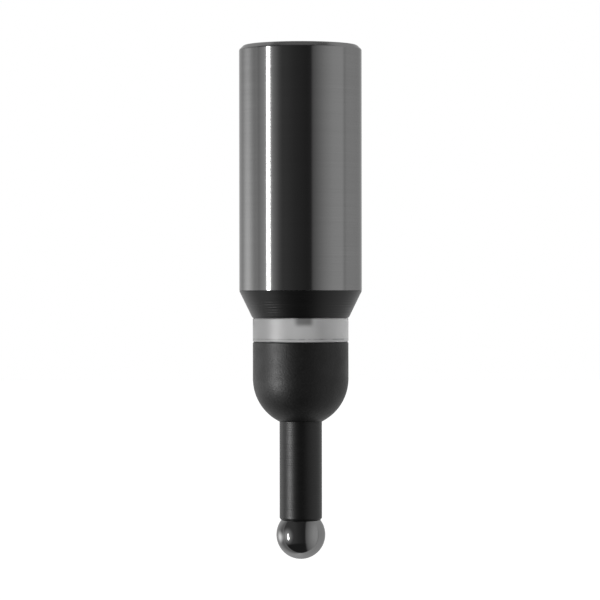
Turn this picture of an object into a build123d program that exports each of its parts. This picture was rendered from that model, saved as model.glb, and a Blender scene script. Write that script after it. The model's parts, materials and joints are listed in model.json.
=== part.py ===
from build123d import *
from math import acos, cos, degrees, radians, sin, sqrt
import os

# Optical edge finder, in millimetres.
# The origin is on the shank's axis, in the shoulder plane where the black head meets the ground shank.
# +Z points up along the shank, and the probing ball hangs below.

# Shank
shank_d = 25.0
shank_length = 50.0
top_bevel = 1.0
top_round = 0.8
shoulder_break = 0.1

# Battery and its chamber in the shank
battery_d = 10.3
battery_length = 28.5
nub_d = 4.0
nub_length = 1.0
can_edge = 0.5
battery_slack = 0.15
liner_wall = 0.75
liner_reach = 26.0
nub_standoff = 0.5
finger_rim = 2.0
finger_height = 2.5
finger_thickness = 0.3
finger_width = 2.2
finger_count = 3

# Black cone under the shank, and the screwed spigot above it
cone_height = 5.5
cone_foot_step = 0.17
cone_foot_break = 0.2
spigot_length = 6.5
spigot_share = 0.42
spigot_chamfer = 0.5
spigot_end_gap = 0.5
thread_gap = 0.08
relief_depth = 0.5
relief_length = 1.6

# Flat seal in the mouth of the shank
seal_share = 0.48
seal_height = 0.9
seal_gap = 0.1

# Clear ring and the pale core behind it
ring_d = 19.5
ring_height = 4.9
ring_wall = 2.1
ring_bevel = 0.3
ring_slack = 0.1
core_step = 0.5
core_bore_d = 6.0
collar_thread_length = 5.0
housing_thread_length = 4.6
thread_chamfer = 0.4

# Lamps in the core
led_count = 4
led_first_angle = -86.0
led_width = 3.0
led_height = 1.6
led_depth = 1.2
led_lens = 0.35
led_lens_rim = 0.25
led_pocket_gap = 0.1
led_drop = 0.15

# Circuit board in the collar's pocket, and what sits on it
board_pocket_depth = 4.5
board_ledge = 0.7
board_thickness = 1.2
board_slack = 0.1
lock_ring_height = 2.0
lock_ring_width = 1.9
lock_slot_width = 1.2
lock_slot_depth = 0.8
button_flange_d = 5.2
button_flange_height = 0.8
button_d = 3.2
button_edge = 0.3
resistor_length = 3.2
resistor_width = 1.6
resistor_height = 0.6
resistor_gap = 1.2
pin_flange_d = 4.4
pin_flange_height = 0.6
pin_barrel_d = 2.4
pin_barrel_length = 11.0
pin_tip_d = 1.5

# Black housing with its dome
housing_length = 7.5
housing_edge = 0.2
cavity_relief = 0.9

# Stylus tube
tube_d = 8.65
tube_bore_d = 5.0
tube_end_chamfer = 0.28
tube_end_chamfer_height = 0.35
seat_land = 0.05
anchor_ledge = 0.7
plug_height = 1.0
anchor_play = 0.3

# Ball, and how far its centre is below the shoulder
ball_d = 10.0
ball_reach = 49.65
seat_gap = 0.03
ball_bore_d = 4.2
ball_bore_chamfer = 0.25
ball_bore_overdepth = 1.1
eye_plug_height = 1.5

# Spring and what it hooks into
wire_d = 0.6
wire_sides = 8
coil_count = 14
coil_d = 3.6
coil_setback = 2.8
lower_hook_r = 0.8
hook_turn = 210.0
upper_leg = 1.2
anchor_button_height = 1.5
anchor_gap = 0.05
anchor_rod_d = 1.8
eye_thickness = 0.8
eye_hole_gap = 0.2
eye_rim = 0.55

# Radii that follow from the sizes above
shank_r = shank_d / 2
ring_r = ring_d / 2
tube_r = tube_d / 2
ball_r = ball_d / 2
liner_bore_r = battery_d / 2 + battery_slack
chamber_r = liner_bore_r + liner_wall
core_thread_r = ring_r - ring_wall - ring_slack
core_r = core_thread_r - core_step
core_bore_r = core_bore_d / 2
pocket_r = core_thread_r + board_ledge
spigot_r = pocket_r + spigot_share * (shank_r - pocket_r)
cone_foot_r = ring_r + cone_foot_step
seal_outer_r = spigot_r + seal_share * (shank_r - spigot_r)
tube_bore_r = tube_bore_d / 2
anchor_bore_r = tube_bore_r + anchor_ledge
ball_bore_r = ball_bore_d / 2
wire_r = wire_d / 2
coil_mean_r = coil_d / 2 - wire_r
eye_hole_r = wire_r + eye_hole_gap
eye_r = eye_hole_r + eye_rim
finger_root_r = chamber_r - finger_rim

# Heights in the shank, from the shoulder up
thread_depth = spigot_length + spigot_end_gap
nub_z = thread_depth + nub_standoff
can_bottom_z = nub_z + nub_length
can_top_z = nub_z + battery_length
chamber_end_z = can_top_z + finger_height
board_z = spigot_length - board_pocket_depth
board_top_z = board_z + board_thickness

# Heights in the head, from the shoulder down
ring_top_z = -cone_height
ring_bottom_z = ring_top_z - ring_height
core_top_z = ring_top_z + collar_thread_length
core_bottom_z = ring_bottom_z - housing_thread_length
cavity_floor_z = core_bottom_z - cavity_relief
dome_centre_z = ring_bottom_z - housing_length
dome_foot_z = dome_centre_z - sqrt(ring_r**2 - tube_r**2)
dome_foot_angle = -degrees(acos(tube_r / ring_r))
led_top_z = ring_top_z - led_drop

# Heights in the stylus tube and the ball
ball_z = -ball_reach
seat_r = tube_r - tube_end_chamfer - seat_land
seat_sphere_r = ball_r + seat_gap
tube_end_z = ball_z + sqrt(seat_sphere_r**2 - seat_r**2)
seat_inner_z = ball_z + sqrt(seat_sphere_r**2 - tube_bore_r**2)
plug_bottom_z = cavity_floor_z - plug_height
anchor_top_z = plug_bottom_z - anchor_play
anchor_shoulder_z = anchor_top_z - anchor_button_height
ball_bore_z = ball_z - ball_bore_overdepth
ball_eye_z = ball_bore_z + eye_plug_height
ball_hole_z = ball_eye_z + eye_hole_r + wire_d
lower_hook_z = ball_hole_z + lower_hook_r
coil_bottom_z = tube_end_z + coil_setback
coil_top_z = coil_bottom_z + coil_count * wire_d
upper_hook_z = coil_top_z + upper_leg
anchor_hole_z = upper_hook_z + coil_mean_r
anchor_rod_end_z = anchor_hole_z + eye_r


def facing_down(height):
    """A plane at this height that looks down, for holes that are drilled upwards."""
    return Plane(origin=(0, 0, height), z_dir=(0, 0, -1))


def upright(angle):
    """An upright plane through the axis: its x runs outwards at this angle, and its y runs up."""
    outwards = (cos(radians(angle)), sin(radians(angle)), 0)
    across = (sin(radians(angle)), -cos(radians(angle)), 0)
    return Plane(origin=(0, 0, 0), x_dir=outwards, z_dir=across)


def outward_face(angle, radius, height):
    """A plane that faces outwards at this angle, radius and height: its x runs round the axis."""
    outwards = (cos(radians(angle)), sin(radians(angle)), 0)
    around = (-sin(radians(angle)), cos(radians(angle)), 0)
    return Plane(origin=Vector(*outwards) * radius + Vector(0, 0, height), x_dir=around, z_dir=outwards)


def eye_outline(hole_height, root_height):
    """The outline of a lug with a hole at one height, which grows out of what lies at the other."""
    with BuildSketch(Plane.YZ) as lug:
        with Locations((0, hole_height)):
            Circle(eye_r)
        with Locations((0, (hole_height + root_height) / 2)):
            Rectangle(2 * eye_r, abs(root_height - hole_height))
        with Locations((0, hole_height)):
            Circle(eye_hole_r, mode=Mode.SUBTRACT)
    return lug.sketch


def wire_section(path):
    """The spring wire's section, square to the start of a path."""
    with BuildSketch(Plane(origin=path @ 0, z_dir=path % 0)) as section:
        RegularPolygon(wire_r, wire_sides, rotation=180 / wire_sides)
    return section.sketch


# Shank sleeve: bevelled top, closed above the battery, threaded mouth with a recess for the seal
with BuildPart() as shank_sleeve:
    with BuildSketch(Plane.XZ) as sleeve_outline:
        with BuildLine():
            Polyline(
                (0, 0),
                (shank_r - shoulder_break, 0),
                (shank_r, shoulder_break),
                (shank_r, shank_length - top_bevel),
                (shank_r - top_bevel, shank_length),
                (0, shank_length),
                close=True,
            )
        make_face()
        bevel_top = sleeve_outline.vertices().group_by(Axis.Y)[-1].sort_by(Axis.X)[-1]
        bevel_bottom = sleeve_outline.vertices().group_by(Axis.Y)[-2].sort_by(Axis.X)[-1]
        fillet([bevel_top, bevel_bottom], top_round)
    revolve(axis=Axis.Z)
    with Locations(facing_down(0)):
        CounterBoreHole(chamber_r, spigot_r + thread_gap, thread_depth, chamber_end_z)
        Hole(seal_outer_r + seal_gap, seal_height + seal_gap)

# Insulating tube, pushed into the chamber round the battery
with BuildPart() as battery_liner:
    with BuildSketch(Plane.XY.offset(thread_depth)):
        Circle(chamber_r)
        Circle(liner_bore_r, mode=Mode.SUBTRACT)
    extrude(amount=liner_reach)

# Battery: a sealed can with rounded edges, and its contact nub below
with BuildPart() as battery:
    with BuildSketch(Plane.XZ) as battery_outline:
        with BuildLine():
            Polyline(
                (0, nub_z),
                (nub_d / 2, nub_z),
                (nub_d / 2, can_bottom_z),
                (battery_d / 2, can_bottom_z),
                (battery_d / 2, can_top_z),
                (0, can_top_z),
                close=True,
            )
        make_face()
        chamfer(battery_outline.vertices().group_by(Axis.X)[-1], can_edge)
    revolve(axis=Axis.Z)

# Stamped contact at the end of the chamber: a ring with fingers bent down onto the battery
with BuildPart() as battery_spring:
    with BuildSketch(Plane.XY.offset(chamber_end_z)):
        Circle(chamber_r)
        Circle(finger_root_r, mode=Mode.SUBTRACT)
    extrude(amount=-finger_thickness)
    for finger in range(finger_count):
        with BuildSketch(upright(finger * 360 / finger_count)):
            with BuildLine():
                Polyline(
                    (finger_root_r + finger_thickness, chamber_end_z),
                    (finger_root_r + finger_thickness, chamber_end_z - finger_thickness),
                    (2 * finger_thickness, can_top_z),
                    (finger_thickness, can_top_z),
                    (finger_thickness, can_top_z + finger_thickness),
                    (finger_root_r - finger_thickness, chamber_end_z),
                    close=True,
                )
            make_face()
        extrude(amount=finger_width / 2, both=True)

# Flat seal between the cone's shoulder and the shank
with BuildPart() as seal_ring:
    with BuildSketch(Plane.XY):
        Circle(seal_outer_r)
        Circle(spigot_r + seal_gap, mode=Mode.SUBTRACT)
    extrude(amount=seal_height)

# Cone collar: the black cone, with the spigot that screws into the shank and the board's pocket
with BuildPart() as cone_collar:
    with BuildSketch(Plane.XZ):
        with BuildLine():
            Polyline(
                (core_thread_r, ring_top_z),
                (cone_foot_r - cone_foot_break, ring_top_z),
                (cone_foot_r, ring_top_z + cone_foot_break),
                (shank_r, 0),
                (spigot_r - relief_depth, 0),
                (spigot_r - relief_depth, relief_length - relief_depth),
                (spigot_r, relief_length),
                (spigot_r, spigot_length - spigot_chamfer),
                (spigot_r - spigot_chamfer, spigot_length),
                (pocket_r, spigot_length),
                (pocket_r, board_z),
                (core_thread_r, board_z),
                close=True,
            )
        make_face()
    revolve(axis=Axis.Z)

# Clear ring between the collar and the housing
with BuildPart() as light_ring:
    with BuildSketch(Plane.XZ):
        with BuildLine():
            Polyline(
                (core_thread_r + ring_slack, ring_bottom_z),
                (ring_r - ring_bevel, ring_bottom_z),
                (ring_r, ring_bottom_z + ring_bevel),
                (ring_r, ring_top_z - ring_bevel),
                (ring_r - ring_bevel, ring_top_z),
                (core_thread_r + ring_slack, ring_top_z),
                close=True,
            )
        make_face()
    revolve(axis=Axis.Z)

# Pale insulating core: it screws into the collar and the housing, and holds the lamps behind the ring
pocket_floor_r = core_r - led_depth
with BuildPart() as led_carrier:
    with BuildSketch(Plane.XZ):
        with BuildLine():
            Polyline(
                (core_bore_r, core_bottom_z),
                (core_thread_r - thread_chamfer, core_bottom_z),
                (core_thread_r, core_bottom_z + thread_chamfer),
                (core_thread_r, ring_bottom_z),
                (core_r, ring_bottom_z),
                (core_r, ring_top_z),
                (core_thread_r, ring_top_z),
                (core_thread_r, core_top_z - thread_chamfer),
                (core_thread_r - thread_chamfer, core_top_z),
                (core_bore_r, core_top_z),
                close=True,
            )
        make_face()
    revolve(axis=Axis.Z)
    pocket_height = led_height + 2 * led_pocket_gap
    with BuildSketch(Plane.XY.offset(led_top_z + led_pocket_gap)):
        with PolarLocations(pocket_floor_r + led_depth, led_count, start_angle=led_first_angle):
            Rectangle(2 * led_depth, led_width + 2 * led_pocket_gap)
    extrude(amount=-pocket_height, mode=Mode.SUBTRACT)

# Lamps: flat bodies with a raised lens, seated on the pockets' floors
leds = {}
for number in range(led_count):
    led_angle = led_first_angle + number * 360 / led_count
    with BuildPart() as led:
        with BuildSketch(outward_face(led_angle, pocket_floor_r, led_top_z - led_height / 2)):
            Rectangle(led_width, led_height)
        extrude(amount=led_depth - led_lens)
        lens_seat = outward_face(led_angle, pocket_floor_r + led_depth - led_lens, led_top_z - led_height / 2)
        with BuildSketch(lens_seat):
            Rectangle(led_width - 2 * led_lens_rim, led_height - 2 * led_lens_rim)
        extrude(amount=led_lens)
    leds[f"led_{number + 1}"] = led.part

# Circuit board, seated on the collar's ledge
with BuildPart() as circuit_board:
    with BuildSketch(Plane.XY.offset(board_z)):
        Circle(pocket_r - board_slack)
    extrude(amount=board_thickness)

# Chip resistor on the board
with BuildPart() as resistor:
    with BuildSketch(Plane.XY.offset(board_top_z)):
        with Locations((button_flange_d / 2 + resistor_gap + resistor_width / 2, 0)):
            Rectangle(resistor_width, resistor_length)
    extrude(amount=resistor_height)

# Slotted ring that holds the board down in its pocket
with BuildPart() as board_lock_ring:
    with BuildSketch(Plane.XY.offset(board_top_z)):
        Circle(pocket_r)
        Circle(pocket_r - lock_ring_width, mode=Mode.SUBTRACT)
    extrude(amount=lock_ring_height)
    with BuildSketch(Plane.XY.offset(board_top_z + lock_ring_height)):
        Rectangle(2 * pocket_r, lock_slot_width)
    extrude(amount=-lock_slot_depth, mode=Mode.SUBTRACT)

# Brass button that meets the battery's nub
with BuildPart() as battery_contact:
    with BuildSketch(Plane.XZ) as button_outline:
        with BuildLine():
            Polyline(
                (0, board_top_z),
                (button_flange_d / 2, board_top_z),
                (button_flange_d / 2, board_top_z + button_flange_height),
                (button_d / 2, board_top_z + button_flange_height),
                (button_d / 2, nub_z),
                (0, nub_z),
                close=True,
            )
        make_face()
        chamfer(button_outline.vertices().group_by(Axis.Y)[-1].sort_by(Axis.X)[-1], button_edge)
    revolve(axis=Axis.Z)

# Contact pin: flange under the board, barrel, and the thin tip that meets the plug in the tube
with BuildPart() as probe_contact_pin:
    barrel_end_z = board_z - pin_barrel_length
    with BuildSketch(Plane.XZ):
        with BuildLine():
            Polyline(
                (0, board_z),
                (pin_flange_d / 2, board_z),
                (pin_flange_d / 2, board_z - pin_flange_height),
                (pin_barrel_d / 2, board_z - pin_flange_height),
                (pin_barrel_d / 2, barrel_end_z),
                (pin_tip_d / 2, barrel_end_z),
                (pin_tip_d / 2, cavity_floor_z),
                (0, cavity_floor_z),
                close=True,
            )
        make_face()
    revolve(axis=Axis.Z)

# Housing: the cylinder and the dome, with a threaded cavity above and the tube's bore below
with BuildPart() as probe_housing:
    with BuildSketch(Plane.XZ):
        with BuildLine() as housing_outline:
            CenterArc((0, dome_centre_z), ring_r, 0, dome_foot_angle)
            Polyline(
                (tube_r, dome_foot_z),
                (tube_r, cavity_floor_z),
                (core_thread_r, cavity_floor_z),
                (core_thread_r, ring_bottom_z),
                (ring_r - housing_edge, ring_bottom_z),
                (ring_r, ring_bottom_z - housing_edge),
                (ring_r, dome_centre_z),
            )
        make_face()
    revolve(axis=Axis.Z)

# Stylus tube: pressed into the housing, with the anchor's bore at its top and the ball's seat at its end
with BuildPart() as stylus_tube:
    with BuildSketch(Plane.XZ):
        with BuildLine():
            seat_middle_r = (seat_r + tube_bore_r) / 2
            seat_middle_z = ball_z + sqrt(seat_sphere_r**2 - seat_middle_r**2)
            ThreePointArc((tube_bore_r, seat_inner_z), (seat_middle_r, seat_middle_z), (seat_r, tube_end_z))
            Polyline(
                (seat_r, tube_end_z),
                (tube_r - tube_end_chamfer, tube_end_z),
                (tube_r, tube_end_z + tube_end_chamfer_height),
                (tube_r, cavity_floor_z),
                (anchor_bore_r, cavity_floor_z),
                (anchor_bore_r, anchor_shoulder_z),
                (tube_bore_r, anchor_shoulder_z),
                (tube_bore_r, seat_inner_z),
            )
        make_face()
    revolve(axis=Axis.Z)

# Plug in the top of the tube, under the contact pin
with BuildPart() as contact_plug:
    with BuildSketch(Plane.XY.offset(cavity_floor_z)):
        Circle(anchor_bore_r)
    extrude(amount=-plug_height)

# Spring anchor: a button that turns on the tube's shoulder, and a rod with an eye
with BuildPart() as spring_anchor:
    with BuildSketch(Plane.XY.offset(anchor_top_z)):
        Circle(anchor_bore_r - anchor_gap)
    extrude(amount=-anchor_button_height)
    with BuildSketch(Plane.XY.offset(anchor_shoulder_z)):
        Circle(anchor_rod_d / 2)
    extrude(amount=anchor_rod_end_z - anchor_shoulder_z)
    extrude(eye_outline(anchor_hole_z, anchor_rod_end_z + wire_d), amount=eye_thickness / 2, both=True)

# Ball: bored from above, with its measuring surface whole
with BuildPart() as ball:
    with Locations((0, 0, ball_z)):
        Sphere(ball_r)
    with Locations((0, 0, ball_z + ball_r)):
        Hole(ball_bore_r, ball_r + ball_bore_overdepth)
    bore_mouth = ball.edges().filter_by(GeomType.CIRCLE).sort_by(Axis.Z)[-1]
    chamfer(bore_mouth, ball_bore_chamfer)

# Plug with an eye, pressed to the bottom of the ball's bore
with BuildPart() as ball_eye:
    with BuildSketch(Plane.XY.offset(ball_bore_z)):
        Circle(ball_bore_r)
    extrude(amount=eye_plug_height)
    extrude(eye_outline(ball_hole_z, ball_eye_z), amount=eye_thickness / 2, both=True)

# Tension spring: close-wound coils, drawn as one ridge for each turn, and a hook at each end
with BuildPart() as tension_spring:
    ridges = [(coil_mean_r + wire_r, coil_bottom_z)]
    for coil in range(coil_count):
        ridges.append((coil_mean_r + wire_r / 2, coil_bottom_z + (coil + 0.5) * wire_d))
        ridges.append((coil_mean_r + wire_r, coil_bottom_z + (coil + 1) * wire_d))
    with BuildSketch(Plane.XZ):
        with BuildLine():
            Polyline(
                (coil_mean_r - wire_r, coil_bottom_z),
                *ridges,
                (coil_mean_r - wire_r, coil_top_z),
                close=True,
            )
        make_face()
    revolve(axis=Axis.Z)
    with BuildLine(Plane.XZ) as upper_hook:
        Line((coil_mean_r, coil_top_z), (coil_mean_r, upper_hook_z))
        CenterArc((0, upper_hook_z), coil_mean_r, 0, hook_turn)
    sweep(wire_section(upper_hook.line), path=upper_hook.line)
    with BuildLine(Plane.XZ) as lower_hook:
        FilletPolyline(
            (coil_mean_r, coil_bottom_z),
            (coil_mean_r, coil_bottom_z - wire_r),
            (lower_hook_r, coil_bottom_z - 3 * wire_r),
            (lower_hook_r, lower_hook_z),
            radius=wire_r,
        )
        CenterArc((0, lower_hook_z), lower_hook_r, 0, -hook_turn)
    sweep(wire_section(lower_hook.line), path=lower_hook.line)

pieces = {
    "shank_sleeve": shank_sleeve.part,
    "battery_liner": battery_liner.part,
    "battery": battery.part,
    "battery_spring": battery_spring.part,
    "seal_ring": seal_ring.part,
    "cone_collar": cone_collar.part,
    "light_ring": light_ring.part,
    "led_carrier": led_carrier.part,
    **leds,
    "circuit_board": circuit_board.part,
    "resistor": resistor.part,
    "board_lock_ring": board_lock_ring.part,
    "battery_contact": battery_contact.part,
    "probe_contact_pin": probe_contact_pin.part,
    "probe_housing": probe_housing.part,
    "stylus_tube": stylus_tube.part,
    "contact_plug": contact_plug.part,
    "spring_anchor": spring_anchor.part,
    "tension_spring": tension_spring.part,
    "ball": ball.part,
    "ball_eye": ball_eye.part,
}

os.makedirs("parts", exist_ok=True)
for name, piece in pieces.items():
    piece.label = name
    export_step(piece, f"parts/{name}.step")
    print(name, round(piece.volume, 2))
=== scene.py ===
# %% [markdown]
# # An optical edge finder, from machined pieces to a finished picture
# An edge finder is clamped in a milling machine's spindle. Its ball is brought up to a workpiece, and the lamps
# behind the clear ring light up when the two touch. The frame holds every piece at its real size, in metres, with
# the origin where the black head meets the steel shank and +Z up the shank.
# This lesson dresses those pieces. Some nodes keep their shape and get a finish. Others give way to a finer piece
# that is modelled here: real screw threads, a wound spring, rounded edges and a ball fit for a mirror finish.
# %% Load the machined pieces
import bmesh
import bpy
import json
from math import atan2, cos, degrees, hypot, pi, radians, sin, sqrt, tan
from mathutils import Matrix, Vector


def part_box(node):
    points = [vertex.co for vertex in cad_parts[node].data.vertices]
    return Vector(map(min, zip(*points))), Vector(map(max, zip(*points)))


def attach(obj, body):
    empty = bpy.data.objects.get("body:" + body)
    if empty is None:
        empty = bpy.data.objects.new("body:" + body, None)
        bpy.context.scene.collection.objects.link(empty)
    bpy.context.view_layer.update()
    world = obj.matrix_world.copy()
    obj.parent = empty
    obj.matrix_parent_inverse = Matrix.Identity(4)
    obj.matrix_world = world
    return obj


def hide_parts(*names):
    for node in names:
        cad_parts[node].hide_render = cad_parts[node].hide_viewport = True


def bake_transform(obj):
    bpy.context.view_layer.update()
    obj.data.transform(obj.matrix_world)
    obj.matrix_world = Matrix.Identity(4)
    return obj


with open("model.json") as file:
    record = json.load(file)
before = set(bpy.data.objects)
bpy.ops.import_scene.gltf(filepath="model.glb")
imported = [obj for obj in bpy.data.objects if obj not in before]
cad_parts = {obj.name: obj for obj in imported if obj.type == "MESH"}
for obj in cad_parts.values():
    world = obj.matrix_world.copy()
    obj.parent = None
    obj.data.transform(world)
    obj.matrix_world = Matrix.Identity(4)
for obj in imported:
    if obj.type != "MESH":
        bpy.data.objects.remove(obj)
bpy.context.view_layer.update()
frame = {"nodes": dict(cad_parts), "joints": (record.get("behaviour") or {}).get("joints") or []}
nodes = frame["nodes"]

# %% [markdown]
# ## Camera
# The photograph was taken from far away with a long lens, so the cylinder's sides look parallel and its rims are
# only slightly curved. Two measures fix the view: the shank is 25 mm wide and covers a known number of pixels,
# and the rims curve by an amount that puts the lens about 0.65 m away, level with the shoulder. The shoulder's
# rim is nearer to the lens than the axis is, so its height in the picture is scaled back to the axis. The object
# leans by a hair to the left, and the camera is rolled by the same hair.
# %% Camera at the photograph's viewpoint
MM = 0.001
shank_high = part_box("shank_sleeve")[1]
shank_r = shank_high.x
shank_top_z = shank_high.z

picture_side_px = 600
shank_left_px = 239.27
shank_right_px = 361.93
shoulder_px = 290.66
lean = radians(0.065)
sensor_width_mm = 36
pixel = 2 * shank_r / (shank_right_px - shank_left_px)
camera_distance = 650 * MM
rim_share = (camera_distance - shank_r) / camera_distance
camera_x = pixel * (picture_side_px - shank_left_px - shank_right_px) / 2
camera_z = pixel * (shoulder_px - picture_side_px / 2) * rim_share

camera_data = bpy.data.cameras.new("camera")
camera_data.sensor_width = sensor_width_mm
camera_data.lens = sensor_width_mm * camera_distance / (pixel * picture_side_px)
camera = bpy.data.objects.new("camera", camera_data)
camera.location = (camera_x, -camera_distance, camera_z)
camera.rotation_euler = (radians(90), lean, 0)
bpy.context.scene.collection.objects.link(camera)
bpy.context.scene.camera = camera
print("pixel in mm:", round(pixel / MM, 5), "lens in mm:", round(camera_data.lens, 1))

# %% [markdown]
# ## Small helpers for node trees
# The studio and every finish below are a few nodes wired together. The first helper makes one node, sets it up,
# and gives each named input either a value or another node's output. The others do the same for the three kinds of
# node that are used most, so that a finish reads as a short list.
# %% Helpers: nodes, set up and wired
def wire(tree, kind, inputs=None, **settings):
    """A new node of one kind. Inputs are values or other nodes' output sockets; settings are the node's own."""
    node = tree.nodes.new(kind)
    for name, value in settings.items():
        setattr(node, name, value)
    for socket, value in (inputs or {}).items():
        if isinstance(value, bpy.types.NodeSocket):
            tree.links.new(value, node.inputs[socket])
        else:
            node.inputs[socket].default_value = value
    return node


def grey(level):
    return (level, level, level, 1.0)


def calculate(tree, operation, *values):
    """The output of a Math node on these values."""
    return wire(tree, "ShaderNodeMath", dict(enumerate(values)), operation=operation).outputs[0]


def remap(tree, value, start, end, low=0.0, high=1.0, smooth=True):
    """A value that runs from low to high while another runs from start to end."""
    inputs = {"Value": value, "From Min": start, "From Max": end, "To Min": low, "To Max": high}
    kind = "SMOOTHSTEP" if smooth else "LINEAR"
    return wire(tree, "ShaderNodeMapRange", inputs, interpolation_type=kind).outputs["Result"]


def mix(tree, share, first, second):
    """A colour that goes from the first to the second as share goes from 0 to 1."""
    node = wire(tree, "ShaderNodeMix", data_type="RGBA")
    for socket, value in ((node.inputs["Factor"], share), (node.inputs[6], first), (node.inputs[7], second)):
        if isinstance(value, bpy.types.NodeSocket):
            tree.links.new(value, socket)
        else:
            socket.default_value = value
    return node.outputs[2]


# %% [markdown]
# ## The studio
# Polished steel has hardly any look of its own: it shows the room. The photograph's reflections tell what stood
# there. Behind the object is a white sweep. In front, round the lens, the room is dark, but for a white panel on
# the right that starts a little beside the lens. A light tent in the world's nodes gives just that. These are its
# levels of grey, found by trial. Each angle is in degrees to the right of the lens.
# %% Light tent: its levels
world = bpy.data.worlds.new("light_tent")
world.use_nodes = True
bpy.context.scene.world = world
tent = world.node_tree
tent.nodes.clear()

front_half = (
    (-90, 0.14),
    (-60, 0.14),
    (-28, 0.12),
    (-10, 0.078),
    (12, 0.052),
    (19.5, 0.06),
    (23, 0.26),
    (33, 0.42),
    (46, 0.62),
    (62, 0.80),
    (84, 0.86),
    (90, 0.80),
)
back_half = (
    (-180, 0.95),
    (-150, 1.0),
    (-130, 0.74),
    (-108, 0.34),
    (-88, 0.42),
    (88, 0.70),
    (92, 0.58),
    (97, 0.72),
    (130, 0.76),
    (160, 0.86),
    (180, 0.92),
)
print("tent:", len(front_half), "levels in front and", len(back_half), "behind")

# %% [markdown]
# The front half is a ramp over the angle to the side, and the back half is a ramp over the compass angle. Each
# blends from level to level, so that the metal shows soft bands and no steps.
# %% Light tent: a ramp for each half
def ramp_over(tree, value, limit, levels):
    """A grey ramp over an angle in radians, whose levels are listed from minus its limit in degrees to plus it."""
    share = remap(tree, value, -radians(limit), radians(limit), smooth=False)
    node = wire(tree, "ShaderNodeValToRGB", {"Fac": share})
    for angle, level in levels[1:-1]:
        node.color_ramp.elements.new(angle / (2 * limit) + 0.5).color = grey(level)
    node.color_ramp.elements[0].color = grey(levels[0][1])
    node.color_ramp.elements[-1].color = grey(levels[-1][1])
    return node.outputs["Color"]


direction = wire(tent, "ShaderNodeTexCoord").outputs["Generated"]
axes = wire(tent, "ShaderNodeSeparateXYZ", {0: direction}).outputs
compass = calculate(tent, "ARCTAN2", axes["X"], calculate(tent, "MULTIPLY", axes["Y"], -1.0))
front = ramp_over(tent, calculate(tent, "ARCSINE", axes["X"]), 90, front_half)
back = ramp_over(tent, compass, 180, back_half)
print("ramps:", [node.name for node in tent.nodes if node.type == "VALTORGB"])

# %% [markdown]
# ## The tent's floor, ceiling and border
# The front is darker still low down, left of the panel, and high up, but for a paler patch straight overhead. The
# border between the halves comes forward a little at the sides, and leans back above the object, because the
# room's ceiling is dark too. Each of these is a smooth range over how high or how far round a direction points, so
# that no reflection gets an edge that the photograph doesn't show.
# %% Light tent: low, high and the border
dark_level = 0.04
overhead_level = 0.32
low_rise = (-radians(34), -radians(44))
panel_foot_x = (0.5, 0.2)
high_rise = (radians(57), radians(64))
overhead_rise = (radians(60), radians(78))
side_reach = 0.13
ceiling_lean = 0.3
border = (0.03, 0.11)

rise = calculate(tent, "ARCSINE", axes["Z"])
low = calculate(tent, "MULTIPLY", remap(tent, rise, *low_rise), remap(tent, axes["X"], *panel_foot_x))
overhead = remap(tent, rise, *overhead_rise, low=dark_level, high=overhead_level)
front = mix(tent, low, front, grey(dark_level))
front = mix(tent, remap(tent, rise, *high_rise), front, overhead)
forward = calculate(tent, "MULTIPLY_ADD", calculate(tent, "ABSOLUTE", axes["X"]), side_reach, axes["Y"])
ceiling = calculate(tent, "MULTIPLY", calculate(tent, "MAXIMUM", axes["Z"], 0.0), ceiling_lean)
behind = calculate(tent, "SUBTRACT", forward, ceiling)
room = mix(tent, remap(tent, behind, *border), front, back)
print("tent's nodes:", len(tent.nodes))

# %% [markdown]
# ## Two lamps
# The bright line down the shank is a lamp on the left, and the same lamp is the white spot on the ball. It has a
# wide faint glow. A second, softer one stands further round, and shows only as a pale patch near the ball's edge.
# Both are soft-edged ovals on the tent's wall, so that they light every height of the object alike. The camera
# itself sees plain white, as it would see the sweep.
# %% Lamps on the tent's wall
def oval(tree, side, height, half_width, half_height, level, peak=1.0):
    """A soft oval of light, placed and sized in degrees. A higher peak gathers the light in its middle."""
    across = calculate(tree, "DIVIDE", calculate(tree, "SUBTRACT", compass, radians(side)), radians(half_width))
    up = calculate(tree, "DIVIDE", calculate(tree, "SUBTRACT", rise, radians(height)), radians(half_height))
    squares = [calculate(tree, "MULTIPLY", value, value) for value in (across, up)]
    away = calculate(tree, "SQRT", calculate(tree, "ADD", *squares))
    shine = calculate(tree, "POWER", remap(tree, away, 1.0, 0.0), peak)
    return calculate(tree, "MULTIPLY", shine, level)


strip_lamp = oval(tent, side=-62.8, height=-8, half_width=4.8, half_height=20, level=235.0, peak=3.0)
strip_glow = oval(tent, side=-68, height=-5, half_width=37, half_height=38, level=0.85)
soft_lamp = oval(tent, side=-116, height=-8, half_width=30, half_height=19, level=2.0)
lamp_light = calculate(tent, "ADD", strip_lamp, calculate(tent, "ADD", strip_glow, soft_lamp))
lit_room = wire(tent, "ShaderNodeVectorMath", {0: room, 1: lamp_light}, operation="ADD").outputs[0]
seen = wire(tent, "ShaderNodeLightPath").outputs["Is Camera Ray"]
background = wire(tent, "ShaderNodeBackground", {"Color": mix(tent, seen, lit_room, grey(1.0)), "Strength": 1.0})
wire(tent, "ShaderNodeOutputWorld", {"Surface": background.outputs[0]})
print("tent and lamps, nodes:", len(tent.nodes))

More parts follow.
